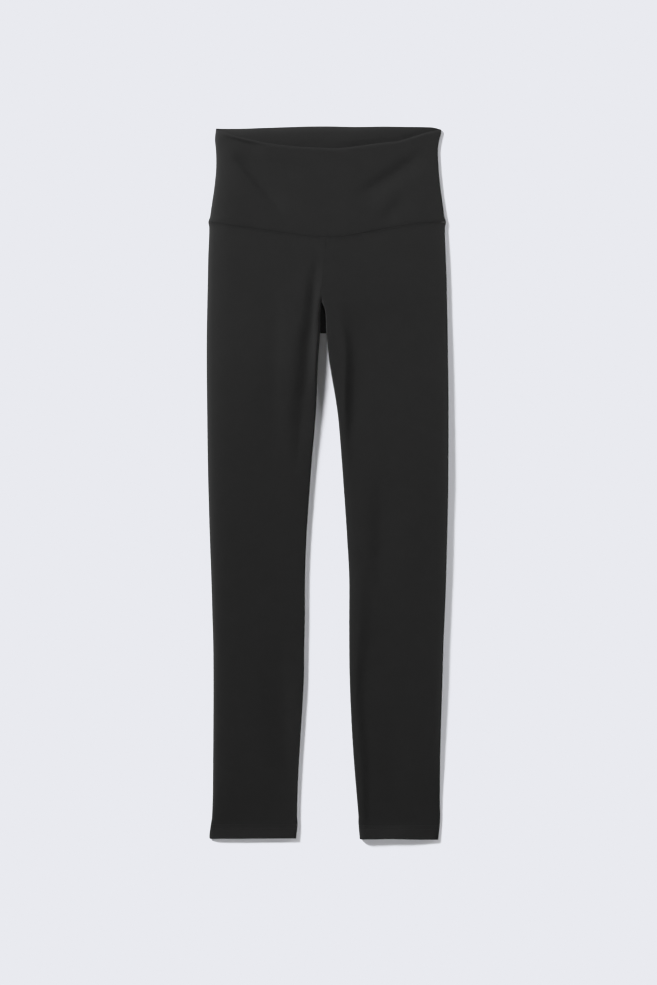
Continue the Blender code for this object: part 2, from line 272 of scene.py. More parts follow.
# Edges that run across the garment, as heights at places from the right side to the left one.
Edge = namedtuple("Edge", "across height")
FRONT_SEAM = (
    Edge(-156, 814.6),
    Edge(-142, 812.3),
    Edge(-129, 809.4),
    Edge(-110, 807.5),
    Edge(-90, 804.7),
    Edge(-70, 801.8),
    Edge(-50, 799.0),
    Edge(-30, 796.4),
    Edge(-10, 794.8),
    Edge(5, 794.4),
    Edge(23, 795.8),
    Edge(42, 799.2),
    Edge(62, 803.2),
    Edge(82, 806.6),
    Edge(102, 810.2),
    Edge(122, 813.0),
    Edge(141, 814.2),
    Edge(156, 815.0),
)
FRONT_TOP = (
    Edge(-149, 937.4),
    Edge(-129, 930.2),
    Edge(-116, 926.6),
    Edge(-103, 923.6),
    Edge(-83, 919.3),
    Edge(-63, 916.3),
    Edge(-37, 913.9),
    Edge(-10, 912.6),
    Edge(16, 912.1),
    Edge(42, 914.8),
    Edge(69, 918.7),
    Edge(95, 921.6),
    Edge(112, 926.8),
    Edge(128, 932.3),
    Edge(149, 937.2),
)
BACK_TOP = (
    Edge(-149, 938.4),
    Edge(-129, 938.1),
    Edge(-105, 938.4),
    Edge(-89, 939.1),
    Edge(-70, 939.7),
    Edge(-46, 940.5),
    Edge(-30, 941.0),
    Edge(0, 941.2),
    Edge(37, 940.6),
    Edge(73, 941.0),
    Edge(100, 940.7),
    Edge(130, 940.3),
    Edge(140, 939.6),
    Edge(149, 937.0),
)

# How far the hems' edges wave up or down.
Wave = namedtuple("Wave", "across lift")
RIGHT_HEM_WAVE = (
    Wave(-157, -0.7),
    Wave(-150, -0.6),
    Wave(-134, -0.3),
    Wave(-113, -0.4),
    Wave(-92, -0.1),
    Wave(-42, 0.0),
)
LEFT_HEM_WAVE = (
    Wave(42, 0.2),
    Wave(53, 0.4),
    Wave(63, 0.4),
    Wave(80, 0.8),
    Wave(95, 0.5),
    Wave(116, -0.1),
    Wave(137, -0.3),
    Wave(147, -0.5),
)
HEM_WAVE_REACH = 35.0

# Folds. Each runs from a low end to a high end and bows to its right. It rises, or sinks where rise is
# below 0, over the widths to its left and right, most at peak, a share of its run.
Fold = namedtuple("Fold", "low_x low_y high_x high_y bow rise left right peak")
FRONT_FOLDS = (
    Fold(-70, 470, -70, 750, 0.0, -0.5, 16.0, 11.0, 0.6),
    Fold(67, 316, 73, 495, 0.0, -0.8, 11.0, 26.0, 0.5),
    Fold(-50, 30, -68, 290, 0.0, -0.9, 22.0, 14.0, 0.4),
    Fold(92, 20, 84, 190, 0.0, -0.3, 14.0, 20.0, 0.5),
    Fold(98, -16, 98, 24, 0.0, 0.6, 20.0, 18.0, 0.4),
)
BAND_FOLDS = (
    Fold(-52, 820, -128, 910, 0.0, -1.6, 5.5, 16.0, 0.6),
    Fold(30, 840, 138, 912, 0.0, -1.0, 9.0, 15.0, 0.5),
    Fold(66, 808, 106, 856, 0.0, -0.4, 7.0, 12.0, 0.5),
    Fold(-32, 868, -84, 904, 0.0, -0.4, 8.0, 7.0, 0.5),
    Fold(-78, 910.8, -146, 929, 0.0, -0.7, 12.0, 3.0, 0.5),
    Fold(-90, 917.5, -142, 931.5, 0.0, 0.4, 2.5, 2.5, 0.5),
)
BACK_FOLDS = (
    Fold(-30, 480, -14, 700, 0.0, 0.7, 7.0, 9.0, 0.6),
    Fold(34, 500, 22, 720, 0.0, 0.8, 9.0, 7.0, 0.5),
    Fold(-92, 560, -40, 690, 3.0, 0.5, 10.0, 8.0, 0.5),
    Fold(98, 570, 44, 700, -3.0, 0.5, 8.0, 10.0, 0.5),
    Fold(-96, 300, -84, 430, 0.0, 0.5, 9.0, 7.0, 0.5),
    Fold(88, 330, 96, 440, 0.0, 0.5, 8.0, 9.0, 0.5),
    Fold(-104, 60, -92, 200, 2.0, 0.4, 7.0, 9.0, 0.5),
    Fold(92, 70, 100, 210, -2.0, 0.4, 9.0, 7.0, 0.5),
)

# The long creases beside the inseams, one table each. A crease rises, or sinks where rise is below 0, over
# the widths to its left and right with the waist up, and where one of them is wide it makes a step.
Crease = namedtuple("Crease", "height at rise left right")
RIGHT_TROUGH = (
    Crease(480, -39.0, 0.0, 8.0, 200.0),
    Crease(528, -36.5, -0.7, 8.0, 200.0),
    Crease(554, -33.5, -1.4, 12.0, 200.0),
    Crease(580, -31.0, -1.5, 12.0, 200.0),
    Crease(607, -27.6, -2.2, 11.5, 200.0),
    Crease(633, -25.4, -2.7, 12.0, 200.0),
    Crease(660, -24.2, -2.6, 11.2, 200.0),
    Crease(686, -20.6, -1.9, 10.5, 200.0),
    Crease(712, -18.3, -1.7, 9.3, 200.0),
    Crease(739, -17.5, -0.8, 7.0, 200.0),
    Crease(770, -14.0, -0.1, 6.0, 200.0),
    Crease(790, -12.0, 0.0, 6.0, 200.0),
)
RIGHT_RIDGE = (
    Crease(500, -24.0, 0.0, 7.0, 200.0),
    Crease(554, -22.0, 0.2, 7.0, 200.0),
    Crease(580, -20.0, 0.35, 7.0, 200.0),
    Crease(607, -18.6, 0.4, 5.0, 200.0),
    Crease(633, -16.4, 0.5, 5.0, 200.0),
    Crease(660, -15.4, 0.75, 4.4, 200.0),
    Crease(686, -14.9, 0.8, 3.6, 200.0),
    Crease(712, -11.6, 1.0, 5.0, 200.0),
    Crease(739, -6.6, 0.8, 6.5, 200.0),
    Crease(770, -4.5, 0.1, 6.5, 200.0),
    Crease(800, -2.0, 0.0, 6.5, 200.0),
)
LEFT_STEP = (
    Crease(470, 23.5, 0.0, 200.0, 7.0),
    Crease(500, 23.0, 0.3, 200.0, 7.0),
    Crease(528, 20.9, 0.8, 200.0, 7.0),
    Crease(554, 21.2, 1.7, 200.0, 7.5),
    Crease(580, 20.8, 2.2, 200.0, 8.0),
    Crease(607, 21.4, 2.1, 200.0, 8.0),
    Crease(633, 22.1, 1.9, 200.0, 8.0),
    Crease(660, 20.1, 1.6, 200.0, 9.0),
    Crease(686, 13.3, 1.1, 200.0, 13.0),
    Crease(700, 10.0, 0.6, 200.0, 15.0),
    Crease(714, 7.0, 0.0, 200.0, 16.0),
)
LEFT_RIDGE = (
    Crease(-20, 46.5, 0.35, 25.0, 6.0),
    Crease(19, 45.3, 0.5, 25.0, 6.0),
    Crease(52, 44.4, 0.75, 25.0, 7.0),
    Crease(118, 40.5, 1.0, 25.0, 9.0),
    Crease(171, 36.6, 1.05, 25.0, 8.0),
    Crease(211, 35.3, 1.15, 25.0, 9.0),
    Crease(263, 38.5, 1.1, 25.0, 11.0),
    Crease(316, 40.4, 0.75, 25.0, 12.0),
    Crease(369, 40.0, 0.0, 25.0, 12.0),
)

# ---- Colours, knit, light, floor and camera ----

CLOTH_COLOUR = (0.018, 0.018, 0.018, 1.0)
# The gusset is the same knit as the legs. Its colour is half as bright, as painted shade for its recess.
GUSSET_SHADED_COLOUR = (0.009, 0.009, 0.009, 1.0)
THREAD_COLOUR = (0.02, 0.02, 0.02, 1.0)
CLOTH_SHEEN = 0.05

# The knit's stitches: their width, height and relief in millimetres, and how their loops lean and dip.
WALE = 0.62
COURSE = 0.48
KNIT_RELIEF = 0.10
KNIT_BUMP = 0.55
LOOP_SLANT = 1.1
LOOP_DEPTH = 0.28
# Painted shade in the knit's grooves: the colour darkens between the stitches and lightens on the loops' tops.
GROOVE_SHADE_RISE = 0.45
GROOVE_SHADE_TONE = 0.72

# Patterns in the tone: scale and detail, how strongly one shows, and the tone where it is 0.
Pattern = namedtuple("Pattern", "scale detail strength least")
CLOUDY = Pattern(38.0, 3.0, 0.16, 0.92)
FIBRE = Pattern(1400.0, 2.0, 0.35, 0.825)
TWIST = Pattern(1500.0, 2.0, 0.5, 0.7)

# The camera's height is in metres and its picture in pixels, each of which shows PIXEL millimetres.
PIXEL = 1.32
PICTURE = (657, 985)
VIEW_CENTRE = (0.73, -12.1)
CAMERA_HEIGHT = 5.0
SENSOR = 36.0

# The brightest tone, and the tones of all light as shares of it. Tint is how far one takes on WHITE's colour.
WHITE = (0.8139, 0.8228, 0.8632)
Response = namedtuple("Response", "light tone tint")
RESPONSE = (
    Response(0.0, 0.0, 0.0),
    Response(0.08, 0.08, 0.0),
    Response(0.2, 0.2, 1.0),
    Response(0.75, 0.75, 1.0),
    Response(0.9, 0.87, 1.0),
    Response(1.05, 0.95, 1.0),
    Response(1.2, 0.985, 1.0),
    Response(1.4, 1.0, 1.0),
)

# The floor's width is in metres, and how far it lies below the garment in millimetres.
FLOOR_COLOUR = (0.85, 0.85, 0.85, 1.0)
FLOOR_SIZE = 60.0
FLOOR_DROP = 0.3
DOME = 0.09

# A sun's light comes from its turn, counted from +X towards +Y, and its elevation. Its angle is its width.
Sun = namedtuple("Sun", "name turn elevation angle strength")
SUN_PLACE = (0.0, 0.0, 2.0)
FLOOR_SUNS = (
    Sun("floor key", 140, 16, 16, 17.0),
    Sun("floor fill high", 25, 3.0, 4, 7.3),
    Sun("floor fill low", -20, 6.5, 16, 9.8),
    Sun("floor fill end", -85, 6, 8, 1.0),
)
CLOTH_SUNS = (
    Sun("cloth key", 155, 11, 14, 6.8),
    Sun("cloth fill", -5, 8, 10, 0.9),
)

# Lamps: where each stands, what it faces and its size, in metres.
Lamp = namedtuple("Lamp", "name place target size power")
CLOTH_LAMPS = (
    Lamp("cloth top left", (-1.0, 1.4, 0.35), (0.0, 0.3, 0.0), (0.5, 0.2), 25.0),
    Lamp("cloth top right", (0.5, 0.9, 0.9), (0.0, 0.3, 0.0), (0.5, 0.5), 5.6),
)


# ---- Reading the tables ----


def smooth_step(share):
    """An even rise from 0 to 1 that starts and ends level."""
    share = np.clip(share, 0.0, 1.0)
    return share * share * (3 - 2 * share)


def blend(start, end, share):
    return start + (end - start) * share


def hump(distance, width):
    """A bell of height 1 that has about a third of it left at the width."""
    return np.exp(-((distance / width) ** 2))


def read_curve(rows, place, key, value):
    """A smooth curve through one column of a table, over another of its columns, at many places."""
    keys = np.array([getattr(row, key) for row in rows], float)
    values = np.array([getattr(row, value) for row in rows], float)
    place = np.asarray(place, float)
    step = np.clip(np.searchsorted(keys, place, side="left") - 1, 0, len(keys) - 2)
    before = np.maximum(step - 1, 0)
    after = np.minimum(step + 2, len(keys) - 1)
    span = keys[step + 1] - keys[step]
    share = np.clip((place - keys[step]) / span, 0.0, 1.0)
    slope_in = (values[step + 1] - values[before]) / (keys[step + 1] - keys[before]) * span
    slope_out = (values[after] - values[step]) / (keys[after] - keys[step]) * span
    square, cube = share**2, share**3
    return (
        values[step] * (2 * cube - 3 * square + 1)
        + slope_in * (cube - 2 * square + share)
        + values[step + 1] * (3 * square - 2 * cube)
        + slope_out * (cube - square)
    )


def outline(height, column):
    """Where an edge of the garment lies across it, with the bulk of the waist seam at the side folds."""
    place = read_curve(OUTLINE, height, "height", column)
    if column in ("right_side", "left_side"):
        place = place + np.sign(place) * SEAM_BULK * hump(height - BACK_SEAM, SEAM_BULK_WIDTH)
    return place


def read_columns(rows, heights, *columns):
    return [read_curve(rows, heights, "height", column) for column in columns]


def edge_height(edge, across):
    return read_curve(edge, across, "across", "height")


class Edging:
    """A folded edge of the laid cloth, read at many heights."""

    def __init__(self, rows, heights):
        self.edge, self.shoulder = read_columns(rows, heights, "edge", "shoulder")
        self.round, self.run = read_columns(rows, heights, "round", "run")

    def drop(self, distance, crown, at):
        """How far the top lies below the crown at a distance from the edge."""
        tight = 1 - np.sqrt(1 - np.clip(1 - distance / self.round[at], 0.0, 1.0) ** 2)
        slow = np.exp(-(distance / self.run[at]))
        return (self.edge[at] - self.shoulder[at]) * tight + (self.shoulder[at] - crown[at]) * slow


def fold_rise(folds, x, height):
    """How far the folds lift the cloth, at many points."""
    total = np.zeros(np.broadcast(x, height).shape)
    for fold in folds:
        run_x = fold.high_x - fold.low_x
        run_y = fold.high_y - fold.low_y
        length = math.hypot(run_x, run_y)
        share = ((x - fold.low_x) * run_x + (height - fold.low_y) * run_y) / length**2
        aside = ((x - fold.low_x) * run_y - (height - fold.low_y) * run_x) / length
        inside = np.clip(share, 0.0, 1.0)
        aside = aside - fold.bow * 4 * inside * (1 - inside)
        width = np.where(aside > 0, fold.right, fold.left)
        growing = smooth_step(share / fold.peak)
        fading = smooth_step((1 - share) / (1 - fold.peak))
        fade = 1 - (1 - np.where(share < fold.peak, growing, fading)) ** 2
        total = total + fold.rise * fade * hump(aside, width)
    return total


def crease_rise(creases, x, height):
    """How far the creases lift the cloth, at many points."""
    total = np.zeros(np.broadcast(x, height).shape)
    for rows in creases:
        at, rise, left, right = read_columns(rows, height, "at", "rise", "left", "right")
        total = total + rise * hump(x - at, np.where(x > at, right, left))
    return total


# ---- Cloth surfaces ----


def stretch(zone, faces, closed=False):
    """The columns of one stretch of a section, each a zone and a share of the way along it."""
    last = faces + 1 if closed else faces
    return [(zone, number / faces) for number in range(last)]


def fold_turn(zone, share):
    """The angle round a folded edge: nothing at the fold itself, a quarter turn where its strip ends."""
    return math.pi / 2 * (share if zone in ("start_top", "end_under") else 1 - share)


def spread(columns, start, end):
    """Where each column lies across the garment, on rows that run from a start edge to an end edge."""
    width = np.abs(end - start)
    towards = np.sign(end - start)
    x = np.zeros(start.shape)
    for number, (zone, share) in enumerate(columns):
        at = (slice(None), number)
        roll = TOP_ROLL if "top" in zone else UNDER_ROLL
        run = 1 - math.cos(fold_turn(zone, share))
        if zone == "top":
            x[at] = start[at] + towards[at] * blend(roll, width[at] - roll, share**CROWDING)
        elif zone == "under":
            x[at] = start[at] + towards[at] * blend(width[at] - roll, roll, share)
        elif zone.startswith("start"):
            x[at] = start[at] + towards[at] * roll * run
        else:
            x[at] = end[at] - towards[at] * roll * run
    return x


def level_across(columns, height, start_column, end_column):
    """Where each column lies across the garment on a level row."""
    level = np.full((1, len(columns)), height)
    return spread(columns, outline(level, start_column), outline(level, end_column))[0]


def tube_surface(columns, heights, start, end, edgings, crowns, folds, creases, opened):
    """The outside of a flattened tube: a grid with a row for each height and a column for each place around.

    Where opened is 1 the start edge is laid open into a seam, its top at full height and its underside flat.
    """
    x = spread(columns, start, end)
    z = np.zeros(heights.shape)
    width = np.abs(end - start)
    start_edging, end_edging = edgings
    start_top = crowns[0] + crease_rise(creases, start, heights)
    end_top = crowns[1] + crease_rise(creases, end, heights)
    for number, (zone, share) in enumerate(columns):
        at = (slice(None), number)
        below = 1 - math.sin(fold_turn(zone, share))
        from_start = np.abs(x[at] - start[at])
        from_end = np.abs(end[at] - x[at])
        if "top" in zone:
            start_drop = start_edging.drop(from_start, start_top, at) * (1 - opened[at])
            end_drop = end_edging.drop(from_end, end_top, at)
            z[at] = blend(crowns[0][at], crowns[1][at], from_start / width[at]) + start_drop + end_drop
            near = np.minimum(np.where(opened[at] > 0.5, width[at], from_start), from_end)
            z[at] += smooth_step(near / FOLD_FADE) * fold_rise(folds, x[at], heights[at])
            z[at] += crease_rise(creases, x[at], heights[at])
        elif zone == "end_under":
            z[at] = end_edging.edge[at] * below
        elif zone == "start_under":
            z[at] = start_edging.edge[at] * below * (1 - opened[at])
        else:
            near = np.minimum(from_start, from_end)
            z[at] = smooth_step(near / BACK_FOLD_FADE) * fold_rise(BACK_FOLDS, x[at], heights[at])
    return np.stack([x, heights, z], axis=-1)


def normals_of(grid, ring_rows):
    """Unit normals of a grid of points. On its first rows the last column meets the first."""
    down_rows = np.gradient(grid, axis=0)
    across = np.gradient(grid, axis=1)
    wrapped = (grid[:ring_rows, 1] - grid[:ring_rows, -2]) / 2
    across[:ring_rows, 0] = wrapped
    across[:ring_rows, -1] = wrapped
    normal = np.cross(across, down_rows)
    return normal / np.maximum(np.linalg.norm(normal, axis=-1, keepdims=True), 1e-9)


def rounded(distance, radius):
    """How far a surface turns in at a distance from its edge, as a quarter circle does."""
    inside = np.clip(1 - distance / radius, 0.0, 1.0)
    return radius * (1 - np.sqrt(1 - inside**2))


def pucker(from_seam, along):
    """Uneven small waves that a seam draws into the cloth beside it."""
    wave = np.sin(along / PUCKER_WAVE + PUCKER_WANDER * np.sin(along / PUCKER_DRIFT))
    wave = wave * (PUCKER_EVEN + (1 - PUCKER_EVEN) * np.sin(along / PUCKER_SWELL + 1.0))
    return PUCKER * wave * np.exp(-from_seam / PUCKER_REACH)


def seam_step(above):
    """The step up from a leg's cloth to the doubled waistband's, at a height above the waist seam."""
    return SEAM_STEP * (0.5 + 0.5 * np.tanh(above / SEAM_STEP_WIDTH))


def along_rows(grid):
    """Distances along each row from its first column."""
    steps = np.linalg.norm(np.diff(grid, axis=1), axis=-1)
    return np.concatenate([np.zeros((len(grid), 1)), np.cumsum(steps, axis=1)], axis=1)


def run_of(low, high, step):
    """Even steps from low, which is left out, up to high."""
    count = max(1, round((high - low) / step))
    return [low + (high - low) * number / count for number in range(1, count + 1)]


def add_object(name, data):
    made = bpy.data.objects.new(name, data)
    bpy.context.scene.collection.objects.link(made)
    return made


def add_mesh(name, vertices, faces, material, flat=None):
    """An object from points in millimetres. flat gives each face corner's place on the unrolled cloth."""
    mesh = bpy.data.meshes.new(name)
    points = np.array(vertices) * MILLIMETRE
    points[:, 1] -= LENGTH / 2 * MILLIMETRE
    mesh.from_pydata(points.tolist(), [], [[int(corner) for corner in face] for face in faces])
    if flat:
        layer = mesh.uv_layers.new(name="cloth")
        layer.data.foreach_set("uv", (np.array(flat) * MILLIMETRE).astype(np.float32).ravel())
    facing = bmesh.new()
    facing.from_mesh(mesh)
    bmesh.ops.recalc_face_normals(facing, faces=facing.faces)
    facing.to_mesh(mesh)
    facing.free()
    mesh.shade_smooth()
    mesh.materials.append(material)
    return add_object(name, mesh)


def add_shell(name, outer, inner, inner_rows, ring_rows, cloth_uv, material):
    """A closed thin shell of two skins. The inner skin has only inner_rows of the outer one's rows.

    On the first ring_rows rows the last column is the first one again.
    """
    rows, columns = outer.shape[:2]
    all_rows = list(range(rows))
    vertices = []
    index = []
    for grid, grid_rows in ((outer, all_rows), (inner, inner_rows)):
        numbers = np.zeros(grid.shape[:2], int)
        for place, row in enumerate(grid_rows):
            count = columns - 1 if row < ring_rows else columns
            numbers[place] = len(vertices) + np.arange(columns) % count
            vertices.extend(grid[place, :count])
        index.append(numbers)
    outside, inside = index
    faces = []
    places = []

    def add_strip(lower, upper, low, high):
        for column in range(columns - 1):
            faces.append((lower[column], lower[column + 1], upper[column + 1], upper[column]))
            places.append(((low, column), (low, column + 1), (high, column + 1), (high, column)))

    for skin, grid_rows in ((outside, all_rows), (inside, inner_rows)):
        for place in range(len(grid_rows) - 1):
            add_strip(skin[place], skin[place + 1], grid_rows[place], grid_rows[place + 1])
    add_strip(outside[0], inside[0], 0, 0)
    add_strip(outside[-1], inside[-1], rows - 1, rows - 1)
    for place, (low, high) in enumerate(zip(inner_rows, inner_rows[1:])):
        if high < ring_rows:
            continue
        for column in (0, columns - 1):
            run = range(low, high + 1)
            hidden = (inside[place + 1, column], inside[place, column])
            faces.append(tuple(outside[row, column] for row in run) + hidden)
            places.append(tuple((row, column) for row in run) + ((high, column), (low, column)))
    flat = [cloth_uv[row, column] for face in places for row, column in face]
    made = add_mesh(name, vertices, faces, material, flat)
    made.data.set_sharp_from_angle(angle=math.radians(SHARP_EDGE))
    return made


# ---- Legs ----

LEG_COLUMNS = (
    stretch("start_top", 12)
    + stretch("top", 84)
    + stretch("end_top", 12)
    + stretch("end_under", 6)
    + stretch("under", 36)
    + stretch("start_under", 6, closed=True)
)
IS_FRONT = np.array(["top" in zone for zone, _ in LEG_COLUMNS])

# Rows: steps above the hem and below the waist seam, and even ones between. The inside skips most of them.
HEM_STEPS = (0.0, 0.12, 0.35, 0.7, 1.2, 2.0)
SEAM_STEPS = (3.2, 2.2, 1.5, 1.0, 0.6, 0.3, 0.1, 0.0)
HEM_ROWS_PAST = 4.0
HEM_ROW = 1.1
LEG_ROW = 2.3
CROTCH_ROW = 1.6
INNER_STRIDE = 4


def waist_seam(inner_column, side_column):
    """The height of a leg's top edge at each column."""
    across = level_across(LEG_COLUMNS, BACK_SEAM, inner_column, side_column)
    seam = np.where(IS_FRONT, edge_height(FRONT_SEAM, across), BACK_SEAM)
    return seam - SEAM_GAP / 2


def leg_heights(hem, seam):
    """The height of each point: level rows up to the crotch, then rows that bend into the waist seam."""
    level = [hem + step for step in HEM_STEPS]
    level += run_of(level[-1], hem + HEM_HEIGHT + HEM_ROWS_PAST, HEM_ROW)
    level += run_of(level[-1], CROTCH, LEG_ROW)
    ring_rows = len(level)
    level += run_of(CROTCH, FRONT_CROTCH, CROTCH_ROW)
    rows = [np.full(len(seam), height) for height in level]
    shares = run_of(0.0, 1.0, LEG_ROW / (BACK_SEAM - FRONT_CROTCH))
    rows += [blend(FRONT_CROTCH, seam - SEAM_STEPS[0], share) for share in shares]
    rows += [seam - step for step in SEAM_STEPS[1:]]
    return np.array(rows), ring_rows


def leg_relief(heights, hem, seam, around, is_ring):
    """How far a leg's outside moves out for its hem, its stitch grooves and its seams."""
    from_inseam = np.minimum(around, around[:, -1:] - around)
    from_hem = heights - hem
    from_waist = seam - heights
    move = -rounded(from_hem, HEM_CLOTH / 2)
    for needle in NEEDLE_ROWS:
        move = move - NEEDLE_GROOVE * hump(from_hem - needle, NEEDLE_GROOVE_WIDTH)
    groove = INSEAM_GROOVE * hump(from_inseam, INSEAM_GROOVE_WIDTH)
    hollow = rounded(from_inseam, CENTRE_ROUND) + CENTRE_HOLLOW * hump(from_inseam, CENTRE_HOLLOW_WIDTH)
    hollow = hollow * smooth_step((heights - CROTCH) / CENTRE_GROWTH)
    move = move - np.where(is_ring, groove, hollow)
    move = move - rounded(from_waist, SEAM_ROUND)
    return move + pucker(from_inseam, heights) + pucker(from_waist, around)


def make_leg(name, inner_column, side_column, inner_roll, side_roll, creases, hem, hem_wave, material):
    """A leg with its half of the hips: a tube up to the crotch, and open above it."""
    seam = waist_seam(inner_column, side_column)
    heights, ring_rows = leg_heights(hem, seam)
    outward = math.copysign(1.0, getattr(OUTLINE[0], side_column))
    start = outline(heights, inner_column) + outward * CENTRE_GAP / 2
    end = outline(heights, side_column)
    edgings = Edging(inner_roll, heights), Edging(side_roll, heights)
    crowns = read_columns(CROWN, heights, inner_column, side_column)
    opened = smooth_step((heights - FLAT_FROM) / (FLAT_TO - FLAT_FROM))
    surface = tube_surface(LEG_COLUMNS, heights, start, end, edgings, crowns, FRONT_FOLDS, creases, opened)
    slit = np.where(heights[:, 0] > CROTCH, SEAM_GAP / 2 * (1 - opened[:, 0]), 0.0)
    surface[:, 0, 2] += slit
    surface[:, -1, 2] -= slit
    wave = read_curve(hem_wave, surface[..., 0], "across", "lift")
    surface[..., 1] += wave * (1 - smooth_step((heights - hem) / HEM_WAVE_REACH))
    surface[..., 2] += np.where(IS_FRONT, seam_step(heights - seam), 0.0)
    around = along_rows(surface)
    normal = normals_of(surface, ring_rows) * outward
    is_ring = (np.arange(len(heights)) < ring_rows)[:, None]
    move = leg_relief(heights, hem, seam, around, is_ring)
    outer = surface + normal * move[..., None]
    from_hem = heights - hem
    thick = np.where(from_hem < HEM_HEIGHT, HEM_CLOTH, CLOTH)
    thick = np.minimum(thick, HEM_CLOTH - rounded(from_hem, HEM_CLOTH / 2) * HEM_CLOSING)
    crotch_row, top_row = ring_rows - 1, len(heights) - 1
    inner_rows = [*range(0, crotch_row, INNER_STRIDE), crotch_row]
    inner_rows += [*range(crotch_row + INNER_STRIDE, top_row, INNER_STRIDE), top_row]
    inner = (surface - normal * thick[..., None])[inner_rows]
    cloth_uv = np.stack([around, heights], axis=-1)
    return add_shell(name, outer, inner, inner_rows, ring_rows, cloth_uv, material), outer, normal


# ---- Waistband ----

FRONT_BAND_COLUMNS = stretch("start_top", 12) + stretch("top", 140) + stretch("end_top", 12, closed=True)
BACK_BAND_COLUMNS = stretch("end_under", 6) + stretch("under", 90) + stretch("start_under", 6, closed=True)

# Rows as for the legs, above the waist seam and below the top edge.
BAND_LOW_STEPS = (0.0, 0.1, 0.3, 0.6, 1.0, 1.5, 2.2, 3.2)
BAND_TOP_STEPS = (3.0, 2.2, 1.6, 1.1, 0.7, 0.4, 0.2, 0.05, 0.0)
BAND_ROW = 1.5


def front_seam_height(across):
    return edge_height(FRONT_SEAM, across)


def back_seam_height(across):
    return np.full(across.shape, BACK_SEAM)


def band_heights(low, high):
    """The height of each point, on rows that follow both edges of the band."""
    rows = [low + step for step in BAND_LOW_STEPS]
    shares = run_of(0.0, 1.0, BAND_ROW / (np.mean(high) - np.mean(low)))
    rows += [blend(low + BAND_LOW_STEPS[-1], high - BAND_TOP_STEPS[0], share) for share in shares]
    rows += [high - step for step in BAND_TOP_STEPS[1:]]
    return np.array(rows)


def back_rise(room, from_top, exposed):
    """How far the inside of the band's back rises into the room above it. Its top part is exposed."""
    highest = np.clip(room + BACK_RIM_PROUD, LEAST_RIM, BACK_RIM)
    risen = highest * (1 - np.exp(-from_top * BACK_RIM_SLOPE / highest))
    sunk = smooth_step((from_top - exposed + RIM_SINK_START) / RIM_SINK)
    risen = risen - (highest - np.clip(room, 0.0, highest)) * sunk
    return np.maximum(risen, 0.0) * (1 - smooth_step((from_top - RIM_FADE_START) / RIM_FADE))


def make_band(name, columns, lower_edge, upper_edge, slit, is_front, material):
    """One side of the waistband, from its waist seam to its folded top edge."""
    across_low, across_high = (
        level_across(columns, height, "right_side", "left_side") for height in (BACK_SEAM, LENGTH)
    )
    low = lower_edge(across_low) + SEAM_GAP / 2
    high = edge_height(upper_edge, across_high)
    heights = band_heights(low, high)
    start = outline(heights, "right_side")
    end = outline(heights, "left_side")
    edgings = Edging(RIGHT_SIDE_ROLL, heights), Edging(LEFT_SIDE_ROLL, heights)
    crowns = read_columns(CROWN, heights, "right_side", "left_side")
    unopened = np.zeros(heights.shape)
    surface = tube_surface(columns, heights, start, end, edgings, crowns, BAND_FOLDS, (), unopened)
    surface[:, 0, 2] += slit
    surface[:, -1, 2] += slit
    from_seam = heights - low
    from_top = high - heights
    if is_front:
        surface[..., 2] += seam_step(from_seam)
        surface[..., 2] -= TOP_SOFT * hump(from_top, TOP_SOFT_WIDTH)
    around = along_rows(surface)
    normal = normals_of(surface, 0)
    middle = len(columns) // 2
    normal = normal * np.sign(normal[middle, middle, 2]) * (1 if is_front else -1)
    from_side = np.minimum(around, around[:, -1:] - around)
    top_round = rounded(from_top, BAND_SIDE_CLOTH / 2)
    move = -rounded(from_seam, SEAM_ROUND) - top_round - rounded(from_side, BAND_SIDE_ROUND)
    move = move + pucker(from_seam, around)
    outer = surface + normal * move[..., None]
    thick = blend(BAND_SIDE_CLOTH, BAND_CLOTH, smooth_step(from_side / BAND_SIDE_REACH))
    if not is_front:
        share = (surface[..., 0] - start) / (end - start)
        room = blend(crowns[0], crowns[1], share) - 2 * thick
        exposed = np.maximum(high - edge_height(FRONT_TOP, across_high), 0.0)
        thick = thick + back_rise(room, from_top, exposed) * smooth_step(from_side / RIM_SIDE)
    thick = thick - top_round * TOP_CLOSING
    inner = surface - normal * thick[..., None]
    cloth_uv = np.stack([around, heights], axis=-1)
    return add_shell(name, outer, inner, list(range(len(heights))), 0, cloth_uv, material)


# ---- Gusset and stitches ----

GUSSET_ROWS = 24
GUSSET_TURN_ROWS = 13
GUSSET_COLUMNS = 9
THREAD_CORNERS = 6

# Points along a stitch as shares of its length, and how high its thread stands there in thread radii.
STITCH_SHARES = (0.0, 0.12, 0.35, 0.65, 0.88, 1.0)
STITCH_RISES = (-1.6, 0.1, 0.8, 0.8, 0.1, -1.6)


def gusset_path(turn, middle, fold_at):
    """The gusset's section from the front's tip round its fold to the back's tip, as heights and levels."""
    path = [(height, middle + turn) for height in np.linspace(GUSSET_TIP, fold_at, GUSSET_ROWS)[:-1]]
    for angle in np.linspace(0, math.pi, GUSSET_TURN_ROWS):
        path.append((fold_at - turn * math.sin(angle), middle + turn * math.cos(angle)))
    path += [(height, middle - turn) for height in np.linspace(fold_at, GUSSET_TIP, GUSSET_ROWS)[1:]]
    return path


